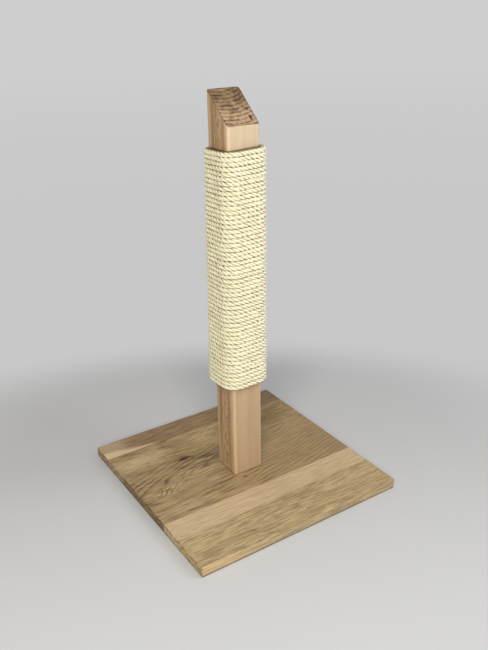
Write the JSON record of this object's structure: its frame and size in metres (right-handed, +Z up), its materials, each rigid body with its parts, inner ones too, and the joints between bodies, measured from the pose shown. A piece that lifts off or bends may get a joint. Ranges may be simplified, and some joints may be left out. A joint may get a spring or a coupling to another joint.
{
  "type": "cat scratching post",
  "caption": "Free-standing scratching post for cats: a square wooden post with a sloping top, wound with sisal rope, stands on a square glued-up board.",
  "frame": {"origin": "on the floor, under the middle of the board", "axes": "+Z up along the post, +X to the right along the board's grain, +Y to the rear; the sloping top falls towards the front, -Y"},
  "size_m": [0.4, 0.4, 0.6838],
  "materials": {
    "oak_light": "oiled oak, light tan, open grain",
    "oak_brown": "oiled oak, mid brown, open grain",
    "oak_pale": "oiled oak, pale and straight-grained",
    "beech": "sanded beech, matt, pinkish tan with short flecks",
    "sisal": "laid sisal rope, cream, dry and fibrous",
    "zinc": "zinc-plated steel"
  },
  "bodies": {
    "root": {"base_stave_1": "oak_light", "base_stave_2": "oak_brown", "base_stave_3": "oak_brown", "base_stave_4": "oak_pale", "base_stave_5": "oak_light", "post": "beech", "sisal_rope_1": "sisal", "sisal_rope_2": "sisal", "sisal_rope_3": "sisal", "post_screw_1": "zinc", "post_screw_2": "zinc", "post_screw_3": "zinc", "post_screw_4": "zinc"}
  },
  "joints": []
}
